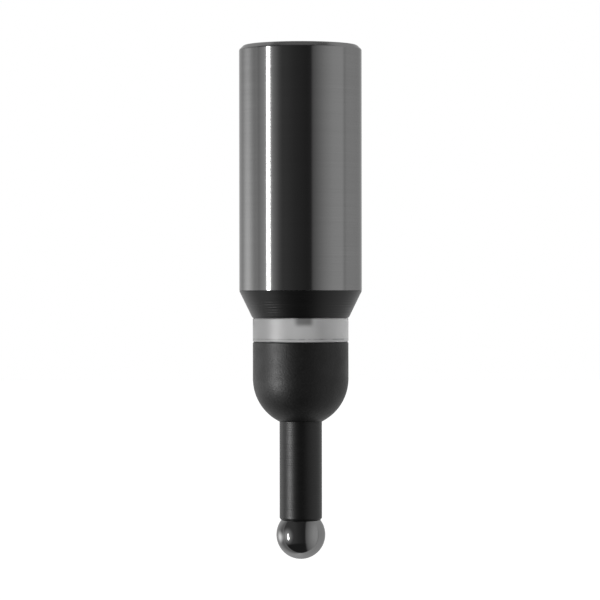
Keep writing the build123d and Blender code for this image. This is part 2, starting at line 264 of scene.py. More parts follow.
# %% [markdown]
# ## Floor
# The object hangs free, as in a spindle, over a pale floor that takes its soft shadow. The floor is a wide flat
# disc. It adds a little light of its own so that it meets the white background without a line. Only the camera
# sees it, because the tent already gives the metal its floor. It throws no shadow, so that the tent's light comes
# up through it, and from below it is see-through. Its glow lights nothing, and the renderer is told not to spend
# samples on it. The Standard view shows every colour as it is written.
# %% Pale floor
floor_drop = 65 * MM
floor_radius = 4.0
floor_colour = grey(0.85)
floor_glow = 0.7
floor_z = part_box("ball")[0].z - floor_drop
bpy.ops.object.select_all(action="DESELECT")
bpy.ops.mesh.primitive_circle_add(
    vertices=128, radius=floor_radius, fill_type="NGON", location=(0, 0, floor_z)
)
floor = bpy.context.object
floor.name = "floor"
floor.visible_diffuse = False
floor.visible_glossy = False
floor.visible_transmission = False
floor.visible_shadow = False
floor_finish = bpy.data.materials.new("pale_floor")
floor_finish.use_nodes = True
floor_finish.cycles.emission_sampling = "NONE"
tree = floor_finish.node_tree
tree.nodes.clear()
lit = wire(tree, "ShaderNodeBsdfDiffuse", {"Color": floor_colour}).outputs[0]
glow = wire(tree, "ShaderNodeEmission", {"Color": grey(1.0), "Strength": floor_glow}).outputs[0]
top_side = wire(tree, "ShaderNodeAddShader", {0: lit, 1: glow}).outputs[0]
under_side = wire(tree, "ShaderNodeBsdfTransparent").outputs[0]
from_below = wire(tree, "ShaderNodeNewGeometry").outputs["Backfacing"]
both = wire(tree, "ShaderNodeMixShader", {0: from_below, 1: top_side, 2: under_side}).outputs[0]
wire(tree, "ShaderNodeOutputMaterial", {"Surface": both})
floor.data.materials.append(floor_finish)
bpy.context.scene.view_settings.view_transform = "Standard"
print("floor at mm:", round(floor_z / MM, 1))

# %% [markdown]
# ## Finish: a start for every material
# All finishes begin with Blender's Principled shader. What is the same all over a surface is set on its own
# sockets. What varies, such as lines, speckle and wear, comes from textures on Object coordinates, which stay
# fixed to the piece however it moves.
# %% Helpers for finishes
def new_finish(name, **sockets):
    """A material with a Principled shader, its sockets set by name, and the object's coordinates ready to use."""
    material = bpy.data.materials.new(name)
    material.use_nodes = True
    tree = material.node_tree
    shader = tree.nodes["Principled BSDF"]
    for socket, value in sockets.items():
        shader.inputs[socket.replace("_", " ")].default_value = value
    place = wire(tree, "ShaderNodeTexCoord").outputs["Object"]
    print("finish:", name)
    return material, tree, shader, place


def noise(tree, place, across, along, detail=2.0):
    """Noise with a size across the axis and one along it, both in metres."""
    stretch = wire(tree, "ShaderNodeMapping", {"Vector": place, "Scale": (1 / across, 1 / across, 1 / along)})
    inputs = {"Vector": stretch.outputs[0], "Scale": 1.0, "Detail": detail}
    return wire(tree, "ShaderNodeTexNoise", inputs).outputs["Fac"]


def speckle(tree, place, size, detail=3.0):
    """Noise of one size in all directions."""
    return noise(tree, place, size, size, detail)


def round_the_axis(tree):
    """The direction round the piece's axis, which anisotropy is measured from."""
    return wire(tree, "ShaderNodeTangent", direction_type="RADIAL", axis="Z").outputs[0]


def add_bump(tree, shader, height, depth, strength):
    """Gives the shader a relief of this real depth in metres."""
    relief = wire(tree, "ShaderNodeBump", {"Height": height, "Distance": depth, "Strength": strength})
    tree.links.new(relief.outputs["Normal"], shader.inputs["Normal"])


def feed(tree, shader, **links):
    """Links outputs to the shader's sockets, which are named with _ for a space."""
    for socket, output in links.items():
        tree.links.new(output, shader.inputs[socket.replace("_", " ")])


# %% [markdown]
# ## Finish: ground steel
# The shank was ground while it turned, so fine lines run round it. They spread a reflection up and down but hardly
# sideways, which keeps the lamp's line narrow. The shader's anisotropy does that, turned by a quarter so that it
# stretches reflections along the axis, and two layers of stretched noise draw the lines themselves.
# %% Ground steel
def make_ground_steel():
    material, tree, shader, place = new_finish(
        "ground_steel", Metallic=1.0, Anisotropic=1.0, Anisotropic_Rotation=0.25, Specular_Tint=grey(0.6)
    )
    lines = noise(tree, place, across=14 * MM, along=0.16 * MM, detail=3.0)
    bands = noise(tree, place, across=30 * MM, along=1.1 * MM)
    colour = mix(tree, lines, grey(0.215), grey(0.265))
    worn = mix(tree, remap(tree, bands, 0.3, 0.7, low=0.0, high=0.2), colour, grey(0.21))
    roughness = remap(tree, lines, 0.25, 0.75, low=0.17, high=0.225)
    feed(tree, shader, Base_Color=worn, Roughness=roughness, Tangent=round_the_axis(tree))
    add_bump(tree, shader, lines, depth=0.001 * MM, strength=0.6)
    return material


ground_steel = make_ground_steel()

# %% [markdown]
# ## Finish: black turned metal
# The cone and the stylus tube were turned and then blackened. The round nose of the cutting tool left shallow
# grooves, about half a millimetre apart and a little closer on the tube. The folded cosine of the height has just
# that shape, round hollows that meet in sharp ridges, and a slow noise makes them fade in and out.
# %% Black turned metal
def make_black_turned(name, rough, spacing, depth, fade):
    """Black metal with tool marks at this spacing, which fade in between two heights."""
    material, tree, shader, place = new_finish(
        name, Specular_IOR_Level=0.43, Anisotropic=0.3, Anisotropic_Rotation=0.25
    )
    height = wire(tree, "ShaderNodeSeparateXYZ", {0: place}).outputs["Z"]
    waves = calculate(tree, "COSINE", calculate(tree, "MULTIPLY", height, pi / spacing))
    marks = calculate(tree, "SUBTRACT", 1.0, calculate(tree, "ABSOLUTE", waves))
    shown = remap(tree, height, *fade)
    patchy = remap(tree, noise(tree, place, across=9 * MM, along=2 * MM), 0.35, 0.6)
    grooves = calculate(tree, "MULTIPLY", marks, calculate(tree, "MULTIPLY", shown, patchy))
    fine = noise(tree, place, across=8 * MM, along=0.12 * MM, detail=3.0)
    relief = calculate(tree, "ADD", grooves, calculate(tree, "MULTIPLY", fine, 0.5))
    colour = mix(tree, fine, grey(0.001), grey(0.004))
    roughness = remap(tree, fine, 0.2, 0.8, *rough)
    feed(tree, shader, Base_Color=colour, Roughness=roughness, Tangent=round_the_axis(tree))
    add_bump(tree, shader, relief, depth, strength=0.6)
    return material


black_cone = make_black_turned(
    "black_cone", rough=(0.38, 0.44), spacing=0.53 * MM, depth=0.045 * MM, fade=(-1.4 * MM, -2.6 * MM)
)
black_tube = make_black_turned(
    "black_tube", rough=(0.45, 0.51), spacing=0.47 * MM, depth=0.035 * MM, fade=(0.0, -1.0 * MM)
)

# %% [markdown]
# ## Finish: black blasted metal
# The housing is matte: it was blasted with fine beads before it was blackened. Up close that is a fine speckle,
# light and dark grains of about a fifth of a millimetre, over a soft sheen.
# %% Black blasted metal
def make_black_blasted():
    material, tree, shader, place = new_finish("black_blasted", Specular_IOR_Level=0.43)
    grain = speckle(tree, place, 0.4 * MM)
    cloud = speckle(tree, place, 2.5 * MM, detail=2.0)
    colour = mix(tree, remap(tree, grain, 0.35, 0.7), grey(0.001), grey(0.005))
    feed(tree, shader, Base_Color=colour, Roughness=remap(tree, cloud, 0.3, 0.7, low=0.48, high=0.54))
    add_bump(tree, shader, grain, depth=0.06 * MM, strength=0.8)
    return material


black_blasted = make_black_blasted()

# %% [markdown]
# ## Finish: clear plastic
# The ring is turned from clear plastic. It is frosted, so that it spreads the light of the tool's own lamps. Its
# colour is darker towards the left as painted shade, where the studio's lamp would wash it out. Where one of the
# tool's lamps stands close behind it, a darker patch is painted on to stand for that lamp's dark body showing
# through. The base colour carries all this: it depends on the place round and along the ring. A fine darker line
# of painted shade, broken here and there, marks where the lower bevel begins.
# %% Clear plastic
ring_low, ring_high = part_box("light_ring")
ring_r = ring_high.x
ring_top_z = ring_high.z
ring_bottom_z = ring_low.z
led_low, led_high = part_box("led_1")
led_centre = (led_low + led_high) / 2
led_angle = atan2(led_centre.y, led_centre.x) + pi / 2
# Painted: where and how strongly the ring's colour is darkened in front of a lamp, for its dark body behind.
painted_patch_sides = (radians(14), radians(6))
painted_patch_heights = (ring_top_z - 2.1 * MM, ring_top_z - 0.9 * MM)
painted_patch_share = 0.7
# Painted shade: the span over which the ring's colour goes from darker on the left to pale on the right.
painted_shade_sides = (-9 * MM, 2.5 * MM)
# Painted shade: the height of the fine dark line near the lower bevel and how fast it fades.
painted_line_z = ring_bottom_z + 0.6 * MM
painted_line_fade = (0.2 * MM, 0.05 * MM)


def make_clear_plastic():
    material, tree, shader, place = new_finish(
        "clear_plastic", IOR=1.49, Specular_IOR_Level=0.8, Transmission_Weight=0.42
    )
    x, y, z = wire(tree, "ShaderNodeSeparateXYZ", {0: place}).outputs
    around = calculate(tree, "SUBTRACT", calculate(tree, "ARCTAN2", y, x), led_angle)
    from_lamp = calculate(tree, "ABSOLUTE", calculate(tree, "WRAP", around, pi / 4, -pi / 4))
    beside = remap(tree, from_lamp, *painted_patch_sides)
    # Painted: the darker patch, beside a lamp and high on the ring.
    painted_patch = calculate(tree, "MULTIPLY", beside, remap(tree, z, *painted_patch_heights))
    # Painted shade: a fine dark line, broken by noise, near the ring's lower bevel.
    from_painted_line = calculate(tree, "ABSOLUTE", calculate(tree, "SUBTRACT", z, painted_line_z))
    broken = remap(tree, noise(tree, place, across=2.5 * MM, along=4 * MM), 0.4, 0.6, low=0.15, high=0.5)
    painted_line = calculate(tree, "MULTIPLY", remap(tree, from_painted_line, *painted_line_fade), broken)
    # The painted lamp patch and the painted shade line together.
    marks = calculate(tree, "MAXIMUM", painted_line, calculate(tree, "MULTIPLY", painted_patch, painted_patch_share))
    # Painted shade: darker towards the left, then the painted lamp patch and the painted shade line on top.
    frost_and_painted_shade = mix(tree, remap(tree, x, *painted_shade_sides), grey(0.36), grey(0.98))
    frost_and_painted_shade = mix(tree, marks, frost_and_painted_shade, grey(0.1))
    bands = noise(tree, place, across=6 * MM, along=0.3 * MM)
    feed(tree, shader, Base_Color=frost_and_painted_shade, Roughness=remap(tree, bands, 0.3, 0.7, low=0.43, high=0.51))
    return material


clear_plastic = make_clear_plastic()
print("first lamp at degrees:", round(degrees(led_angle), 1))

# %% [markdown]
# ## Finish: polished steel
# The ball is lapped and polished, so it mirrors the studio sharply. Only the faintest haze from handling softens
# it: a cloudy change of shade and roughness.
# %% Polished steel
def make_polished_steel():
    material, tree, shader, place = new_finish("polished_steel", Metallic=1.0, Specular_Tint=grey(0.65))
    haze = speckle(tree, place, 2.2 * MM)
    colour = mix(tree, haze, grey(0.23), grey(0.27))
    feed(tree, shader, Base_Color=colour, Roughness=remap(tree, haze, 0.35, 0.7, low=0.06, high=0.08))
    return material


polished_steel = make_polished_steel()

# %% [markdown]
# ## Finish: the parts inside
# What is inside shows only when the head is unscrewed or the ball tips, and through the clear ring. The core is a
# pale insulating plastic, the contacts are brass, the springs are bright steel wire, and the rest are a rubber
# seal, a battery, a green board and a ceramic resistor. One function makes each of them from two colours, a
# roughness range and the size of its grain. The battery and the resistor have a dark body between bare metal ends,
# so a second function picks the ends by their distance from the middle.
# %% Helpers: plain and capped finishes
def make_plain(name, dark, light, rough_low, rough_high, grain, depth=0.002 * MM, **sockets):
    """A cloudy finish between two colours and two roughnesses."""
    material, tree, shader, place = new_finish(name, **sockets)
    cloud = speckle(tree, place, grain)
    colour = mix(tree, remap(tree, cloud, 0.3, 0.7), (*dark, 1), (*light, 1))
    feed(tree, shader, Base_Color=colour, Roughness=remap(tree, cloud, 0.3, 0.7, rough_low, rough_high))
    add_bump(tree, shader, cloud, depth, strength=0.4)
    return material


def make_capped(name, dark, light, node, axis, bottom, cap):
    """A dark body between bare ends of one length. It starts this far above the bottom of the node's box."""
    material, tree, shader, place = new_finish(name)
    low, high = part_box(node)
    start = getattr(low, axis) + bottom
    end = getattr(high, axis)
    along = wire(tree, "ShaderNodeSeparateXYZ", {0: place}).outputs[axis.upper()]
    from_middle = calculate(tree, "ABSOLUTE", calculate(tree, "SUBTRACT", along, (start + end) / 2))
    bare = calculate(tree, "GREATER_THAN", from_middle, (end - start) / 2 - cap)
    cloud = speckle(tree, place, 1.5 * MM)
    body = mix(tree, remap(tree, cloud, 0.3, 0.7), grey(dark), grey(light))
    roughness = remap(tree, cloud, 0.3, 0.7, low=0.25, high=0.4)
    feed(tree, shader, Base_Color=mix(tree, bare, body, grey(0.5)), Metallic=bare, Roughness=roughness)
    return material


# %% [markdown]
# Each line below gives a finish its darker and its lighter colour, its lowest and its highest roughness, and the
# size of its grain. The core also glows through a little, as milky plastic does, which is subsurface scattering.
# %% Finishes of the inner pieces
pale_plastic = make_plain(
    "pale_plastic",
    (0.86,) * 3,
    (0.92,) * 3,
    0.4,
    0.55,
    1.2 * MM,
    Subsurface_Weight=1.0,
    Subsurface_Radius=(1, 1, 1),
    Subsurface_Scale=6 * MM,
)
brass = make_plain("brass", (0.62, 0.42, 0.16), (0.78, 0.55, 0.24), 0.2, 0.34, 0.8 * MM, Metallic=1.0)
spring_steel = make_plain("spring_steel", (0.42,) * 3, (0.55,) * 3, 0.16, 0.3, 0.5 * MM, Metallic=1.0)
rubber = make_plain("rubber", (0.012,) * 3, (0.02,) * 3, 0.6, 0.75, 0.15 * MM, depth=0.01 * MM)
white_liner = make_plain("white_liner", (0.7, 0.69, 0.66), (0.8, 0.79, 0.76), 0.35, 0.5, 2 * MM)
board_green = make_plain("board_green", (0.012, 0.09, 0.035), (0.02, 0.14, 0.055), 0.25, 0.4, 0.9 * MM)
lamp_case = make_plain("lamp_case", (0.24,) * 3, (0.3,) * 3, 0.35, 0.5, 0.3 * MM)
lamp_lens = make_plain("lamp_lens", (0.1,) * 3, (0.16,) * 3, 0.12, 0.25, 0.3 * MM)
ceramic = make_capped("ceramic", 0.02, 0.04, "resistor", "y", bottom=0.0, cap=0.5 * MM)
battery_jacket = make_capped("battery_jacket", 0.1, 0.16, "battery", "z", bottom=1.0 * MM, cap=0.8 * MM)
print("finishes:", len(bpy.data.materials))

# %% [markdown]
# ## Helpers for modelling
# The pieces below are shaped with Blender's own operators. Those act on whatever is selected, so each step first
# selects faces, edges or points by their place.
# %% Helpers: start a piece and select by place
TINY = 0.002 * MM


def start_piece(name):
    """Names the primitive that was just added, puts its place into its mesh, and opens it for editing."""
    piece = bpy.context.object
    piece.name = name
    piece.data.name = name
    bpy.ops.object.transform_apply(location=True, rotation=True, scale=True)
    bpy.ops.object.mode_set(mode="EDIT")
    bpy.ops.mesh.select_mode(type="VERT")
    return piece


def pick(piece, kind, wanted):
    """Selects the points, edges or faces whose every corner is wanted, and says how many there are."""
    bpy.ops.mesh.select_mode(type=kind)
    bpy.ops.mesh.select_all(action="DESELECT")
    shape = bmesh.from_edit_mesh(piece.data)
    items = {"VERT": shape.verts, "EDGE": shape.edges, "FACE": shape.faces}[kind]
    found = 0
    for item in items:
        corners = [item] if kind == "VERT" else item.verts
        if all(wanted(corner.co) for corner in corners):
            item.select_set(True)
            found += 1
    bmesh.update_edit_mesh(piece.data)
    return found


def select_alone(piece):
    """Makes a piece the active one and the only one selected."""
    bpy.ops.object.select_all(action="DESELECT")
    piece.select_set(True)
    bpy.context.view_layer.objects.active = piece


# %% [markdown]
# When a piece's shape is done, points that lie on each other are merged and its faces are turned outwards. It is
# shaded smooth, but for its real edges, and weighted normals keep its flat faces flat. Then it gets its finish and
# takes the place of its node in the frame.
# %% Helpers: modify, weld and finish a piece
WELD = 0.0005 * MM


def modify(piece, kind, **settings):
    """Gives the active piece a modifier with these settings and applies it."""
    bpy.ops.object.modifier_add(type=kind)
    modifier = piece.modifiers[-1]
    for name, value in settings.items():
        setattr(modifier, name, value)
    bpy.ops.object.modifier_apply(modifier=modifier.name)


def weld():
    """Merges all points of the open piece that lie on each other."""
    bpy.ops.mesh.select_all(action="SELECT")
    bpy.ops.mesh.remove_doubles(threshold=WELD)


def finish_piece(piece, finish, replaced, body=None, smooth_angle=30):
    """Closes the edit, shades the piece, gives it its finish and lets it ride in the place of its node."""
    weld()
    bpy.ops.mesh.normals_make_consistent(inside=False)
    bpy.ops.object.mode_set(mode="OBJECT")
    bpy.ops.object.shade_smooth_by_angle(angle=radians(smooth_angle))
    modify(piece, "WEIGHTED_NORMAL", keep_sharp=True)
    if finish:
        piece.data.materials.clear()
        piece.data.materials.append(finish)
    if body:
        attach(piece, body)
    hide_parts(replaced)
    piece.select_set(False)
    print(piece.name, "faces:", len(piece.data.polygons))


# %% [markdown]
# ## Helpers for turned pieces
# Most pieces of this tool come from a lathe. A turned piece is drawn as half an outline, by extruding a point from
# corner to corner, and then spun once round the axis, as the lathe would make it.
# %% Helpers: draw an outline and spin it
STEPS = 192


def extrude(offset):
    """Extrudes what is selected by an offset, and leaves the new end selected."""
    bpy.ops.mesh.extrude_region_move(TRANSFORM_OT_translate={"value": offset})


def start_outline(name, x, z):
    """A piece that is a single point so far: a small plane, merged at its middle."""
    bpy.ops.object.select_all(action="DESELECT")
    bpy.ops.mesh.primitive_plane_add(size=MM, location=(x, 0, z))
    piece = start_piece(name)
    bpy.ops.mesh.merge(type="CENTER")
    return piece


def turn(name, outline):
    """A solid of revolution: an outline of (radius, height) corners, closed if it keeps off the axis, and spun."""
    piece = start_outline(name, *outline[0])
    for (from_r, from_z), (to_r, to_z) in zip(outline, outline[1:]):
        extrude((to_r - from_r, 0, to_z - from_z))
    if outline[0][0] > 0:
        shape = bmesh.from_edit_mesh(piece.data)
        for point in shape.verts:
            point.select_set(len(point.link_edges) == 1)
        bmesh.update_edit_mesh(piece.data)
        bpy.ops.mesh.edge_face_add()
    bpy.ops.mesh.select_all(action="SELECT")
    bpy.ops.mesh.spin(steps=STEPS, angle=2 * pi, center=(0, 0, 0), axis=(0, 0, 1))
    weld()
    return piece


def arc(centre_r, centre_z, radius, start, end, steps):
    """Outline corners along an arc, between two angles in degrees: 0 is straight out and 90 is up."""
    angles = [radians(start + (end - start) * step / steps) for step in range(steps + 1)]
    return [(centre_r + radius * cos(angle), centre_z + radius * sin(angle)) for angle in angles]


# %% [markdown]
# The radii of a turned piece are read from the machined node's own corners, so that the finer piece has its size.
# %% Helpers: read a node's radii
def radius_of(point):
    return hypot(point.x, point.y)


def radii(node, low_z, high_z):
    """A turned node's smallest and largest corner radius between two heights, read from its mesh."""
    corners = [point.co for point in nodes[node].data.vertices]
    found = [radius_of(corner) for corner in corners if low_z - TINY < corner.z < high_z + TINY]
    return min(found), max(found)


# %% [markdown]
# ## The thread's measures
# The head screws into the shank, and both sides of that thread show when the battery is changed. The frame's joint
# says how far the head travels in how many turns, and that is the pitch. The radii are the machined ones, less the
# depth of the groove.
# %% Measure the thread
joints = {joint["name"]: joint for joint in frame["joints"]}
turns_out = joints["head_turn"]["range_deg"][1] / 360
pitch = joints["head_travel"]["range_m"][1] / turns_out
thread_start_z = 0.5 * MM
recess_z = 1.0 * MM
spigot_z = 1.4 * MM

collar_top_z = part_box("cone_collar")[1].z
male_r = radii("cone_collar", spigot_z, collar_top_z)[1]
male_depth = 0.476 * MM
male_root_r = male_r - male_depth
female_relief_r = radii("shank_sleeve", recess_z, recess_z)[0]
female_root_r = female_relief_r - 0.016 * MM
female_depth = 0.484 * MM
female_mouth_r = female_root_r - female_depth
print("pitch in mm:", round(pitch / MM, 3))
print("male radius in mm:", round(male_r / MM, 3), "female:", round(female_mouth_r / MM, 3))

# %% [markdown]
# ## Cutting a thread
# A thread is cut by a V-shaped tool that moves along while the work turns. Here the tool's path is a solid: a
# flat-nosed V, wound up by the Screw modifier. It starts and ends in free space, so the thread runs out cleanly.
# %% Helper: wind the cutter's path
nose_flat = 0.21 * pitch
flank_angle = radians(30)
spare = 0.1 * MM
steps_a_turn = 96


def wind_cutter(mouth_r, root_r, start_z, turns, start_side):
    """The path of a flat-nosed V from a little before the mouth's radius to the root's."""
    outwards = 1 if root_r > mouth_r else -1
    cutter_mouth_r = mouth_r - outwards * spare
    half_nose = nose_flat / 2
    half_mouth = half_nose + abs(root_r - cutter_mouth_r) * tan(flank_angle)
    depth = start_side * (root_r - cutter_mouth_r)
    cutter = start_outline("thread_cutter", start_side * cutter_mouth_r, start_z - half_mouth)
    extrude((depth, 0, half_mouth - half_nose))
    extrude((0, 0, nose_flat))
    extrude((-depth, 0, half_mouth - half_nose))
    bpy.ops.mesh.select_all(action="SELECT")
    bpy.ops.mesh.edge_face_add()
    bpy.ops.object.mode_set(mode="OBJECT")
    modify(
        cutter,
        "SCREW",
        axis="Z",
        steps=steps_a_turn,
        render_steps=steps_a_turn,
        iterations=turns,
        screw_offset=pitch,
    )
    bpy.ops.object.mode_set(mode="EDIT")
    weld()
    bpy.ops.mesh.fill_holes(sides=0)
    bpy.ops.mesh.select_all(action="SELECT")
    bpy.ops.mesh.normals_make_consistent(inside=False)
    bpy.ops.object.mode_set(mode="OBJECT")
    return cutter


# %% [markdown]
# A Boolean takes that path out of the turned piece. Both are closed solids, which the exact solver needs.
# %% Helper: cut a thread
def cut_thread(piece, mouth_r, root_r, turns, start_side):
    """Cuts a groove from the mouth's radius to the root's. It starts at one side, 1 for +X and -1 for -X."""
    bpy.ops.object.mode_set(mode="OBJECT")
    cutter = wind_cutter(mouth_r, root_r, thread_start_z, turns, start_side)
    select_alone(piece)
    modify(piece, "BOOLEAN", operation="DIFFERENCE", solver="EXACT", object=cutter)
    bpy.data.objects.remove(cutter)
    bpy.ops.object.mode_set(mode="EDIT")


# %% [markdown]
# ## Shank
# The shank is the piece that the spindle grips. Its outline runs from the axis over the flat top, round a bevel
# whose two corners are eased, down the ground side, and back up the inside: the recess for the seal, the thread, a
# relief where the thread's tool ran out, and the battery's chamber. Spinning that outline gives the whole body.
# %% Model the shank
bevel = 0.9 * MM
ease = 0.5 * MM
ease_cut = ease * tan(radians(22.5))
ease_steps = 8
edge_break = 0.1 * MM
thread_entry = 0.3 * MM
relief_height = 1.0 * MM
chamber_heights = (20 * MM, 45 * MM)
recess_r = radii("shank_sleeve", 0, 0)[0]
chamber_r = radii("shank_sleeve", *chamber_heights)[0]
chamber_end_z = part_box("battery_spring")[1].z
thread_end_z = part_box("battery_liner")[0].z
relief_z = thread_end_z - relief_height

top_corner_r = shank_r - bevel
side_corner_z = shank_top_z - bevel
shank_outline = [(0, shank_top_z)]
shank_outline += arc(top_corner_r - ease_cut, shank_top_z - ease, ease, 90, 45, ease_steps)
shank_outline += arc(shank_r - ease, side_corner_z - ease_cut, ease, 45, 0, ease_steps)
shank_outline += [
    (shank_r, edge_break),
    (shank_r - edge_break, 0),
    (recess_r, 0),
    (recess_r, recess_z),
    (female_mouth_r + thread_entry, recess_z),
    (female_mouth_r, recess_z + thread_entry),
    (female_mouth_r, relief_z),
    (female_relief_r, relief_z),
    (female_relief_r, thread_end_z),
    (chamber_r, thread_end_z),
    (chamber_r, chamber_end_z),
    (0, chamber_end_z),
]
shank = turn("turned_shank", shank_outline)
cut_thread(shank, female_mouth_r, female_root_r, turns=6, start_side=1)
finish_piece(shank, ground_steel, "shank_sleeve", "shank")

# %% [markdown]
# ## Cone collar
# The black collar closes the shank and carries all that is below. Outside it is a cone that narrows to the clear
# ring, with a small chamfer at its foot. Above it is the threaded spigot, chamfered so that the thread starts
# easily, with a groove at its root. Inside are the pocket for the circuit board and the bore for the core.
# %% Model the cone collar
foot_break = 0.2 * MM
cone_edge = 0.06 * MM
neck_top_z = 1.1 * MM
core_thread_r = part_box("led_carrier")[1].x
cone_foot_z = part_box("cone_collar")[0].z
pocket_floor_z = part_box("circuit_board")[0].z
foot_r = radii("cone_collar", cone_foot_z, cone_foot_z)[1]
pocket_r, neck_r = radii("cone_collar", collar_top_z, collar_top_z)
spigot_chamfer = male_r - neck_r
collar_outline = [
    (core_thread_r, cone_foot_z),
    (foot_r, cone_foot_z),
    (foot_r + foot_break, cone_foot_z + foot_break),
    (shank_r - cone_edge / 2, -cone_edge),
    (shank_r - cone_edge, 0),
    (neck_r, 0),
    (neck_r, neck_top_z),
    (male_r, neck_top_z + spigot_chamfer),
    (male_r, collar_top_z - spigot_chamfer),
    (neck_r, collar_top_z),
    (pocket_r, collar_top_z),
    (pocket_r, pocket_floor_z),
    (core_thread_r, pocket_floor_z),
]
collar = turn("turned_collar", collar_outline)
cut_thread(collar, male_r, male_root_r, turns=7, start_side=-1)
finish_piece(collar, black_cone, "cone_collar", "head")

# %% [markdown]
# ## Clear ring
# The ring is a length of thick clear tube with broken edges. So it is modelled as a tube: an open cylinder with
# the outer radius, whose wall Solidify thickens inwards, and whose outer rims Bevel breaks.
# %% Model the clear ring
ring_edge = 0.3 * MM
ring_wall = ring_r - radii("light_ring", ring_bottom_z, ring_top_z)[0]
ring_height = ring_top_z - ring_bottom_z
ring_middle = (0, 0, (ring_top_z + ring_bottom_z) / 2)
bpy.ops.object.select_all(action="DESELECT")
bpy.ops.mesh.primitive_cylinder_add(
    vertices=STEPS, radius=ring_r, depth=ring_height, end_fill_type="NOTHING", location=ring_middle
)
ring = start_piece("clear_ring")
bpy.ops.object.mode_set(mode="OBJECT")
modify(ring, "SOLIDIFY", thickness=ring_wall, offset=-1, use_even_offset=True)
bpy.ops.object.mode_set(mode="EDIT")
for rim_z in (ring_top_z, ring_bottom_z):
    rim = pick(ring, "EDGE", lambda point: abs(point.z - rim_z) < TINY and abs(radius_of(point) - ring_r) < TINY)
    bpy.ops.mesh.bevel(offset=ring_edge, segments=3, affect="EDGES")
    print("rim edges:", rim)
finish_piece(ring, clear_plastic, "light_ring", "head")

# %% [markdown]
# ## Housing
# Below the ring the housing is a short cylinder that ends in a half ball, cut off where the tube comes out. The
# dome's corners lie on an arc whose centre is on the axis, fine enough that no facet shows at the silhouette.
# %% Model the housing
housing_edge = 0.2 * MM
dome_steps = 40
dome_foot_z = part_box("probe_housing")[0].z
tube_low, tube_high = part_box("stylus_tube")
tube_r = tube_high.x
cavity_floor_z = tube_high.z
dome_z = dome_foot_z + sqrt(ring_r**2 - tube_r**2)
dome_end = -degrees(atan2(dome_z - dome_foot_z, tube_r))
housing_outline = [
    (core_thread_r, cavity_floor_z),
    (core_thread_r, ring_bottom_z),
    (ring_r - housing_edge, ring_bottom_z),
    (ring_r, ring_bottom_z - housing_edge),
]
housing_outline += arc(0, dome_z, ring_r, 0, dome_end, dome_steps)
housing_outline += [(tube_r, cavity_floor_z)]
housing = turn("turned_housing", housing_outline)
finish_piece(housing, black_blasted, "probe_housing", "head")

# %% [markdown]
# ## Stylus tube
# The tube holds the spring, and its lower end is the ball's seat: a ring that fits the ball, left by a chamfer
# outside and the bore inside. A wider bore at the top takes the button that the spring hangs from.
# %% Model the stylus tube
ball_r = 5 * MM
chamfer_height = 0.35 * MM
button_height = 1.5 * MM
bore_top_z = -30 * MM
anchor_bore_heights = (-18.8 * MM, -18.6 * MM)
seat_steps = 10
ball_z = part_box("ball")[0].z + ball_r
tube_end_z = tube_low.z
seat_r, land_r = radii("stylus_tube", tube_end_z, tube_end_z)
seat_sphere_r = hypot(seat_r, tube_end_z - ball_z)
tube_bore_r = radii("stylus_tube", tube_end_z, bore_top_z)[0]
anchor_bore_r = radii("stylus_tube", *anchor_bore_heights)[1]
anchor_ledge_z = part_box("spring_anchor")[1].z - button_height
seat_start = degrees(atan2(tube_end_z - ball_z, seat_r))
seat_end = degrees(atan2(sqrt(seat_sphere_r**2 - tube_bore_r**2), tube_bore_r))
tube_outline = [
    (anchor_bore_r, anchor_ledge_z),
    (anchor_bore_r, cavity_floor_z),
    (tube_r, cavity_floor_z),
    (tube_r, tube_end_z + chamfer_height),
    (land_r, tube_end_z),
]
tube_outline += arc(0, ball_z, seat_sphere_r, seat_start, seat_end, seat_steps)
tube_outline += [(tube_bore_r, anchor_ledge_z)]
tube = turn("turned_tube", tube_outline)
finish_piece(tube, black_tube, "stylus_tube", "head")

# %% [markdown]
# ## Ball
# The ball is what touches the work, so it is the roundest piece of all, and a mirror finish shows every facet. Its
# outline is a fine arc from the lowest point up to the mouth of the bore that the spring's eye is pressed into.
# %% Model the ball
mouth_break = 0.25 * MM
ball_steps = 90
eye_low, eye_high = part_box("ball_eye")
ball_bore_r = eye_high.x
ball_bore_z = eye_low.z
mouth_r = ball_bore_r + mouth_break
mouth_z = ball_z + sqrt(ball_r**2 - mouth_r**2)
mouth_angle = degrees(atan2(mouth_z - ball_z, mouth_r))
ball_outline = arc(0, ball_z, ball_r, -90, mouth_angle, ball_steps)
ball_outline[0] = (0, ball_z - ball_r)
ball_outline += [(ball_bore_r, mouth_z - mouth_break), (ball_bore_r, ball_bore_z), (0, ball_bore_z)]
ball = turn("lapped_ball", ball_outline)
finish_piece(ball, polished_steel, "ball", "ball")

# %% [markdown]
# ## Lamps
# Four small lamps sit in pockets round the core, behind the clear ring. Each is a grey block with eased edges, a
# window over a dark lens, and a metal terminal at either side. One is shaped from a cube with bevel and inset.
# %% Model one lamp
led_points = [point.co for point in nodes["led_1"].data.vertices]
led_front = max(-(Matrix.Rotation(-led_angle, 3, "Z") @ point).y for point in led_points)
led_width = 3.0 * MM
led_depth = 1.2 * MM
led_height = led_high.z - led_low.z
led_middle = (0, led_depth / 2 - led_front, led_centre.z)
led_edge = 0.06 * MM
frame_width = 0.2 * MM
lens_slope, lens_depth = 0.1 * MM, 0.12 * MM
lens_border, lens_rise = 0.15 * MM, 0.06 * MM
terminal_margin = 0.25 * MM
terminal_slope, terminal_depth = 0.03 * MM, 0.04 * MM

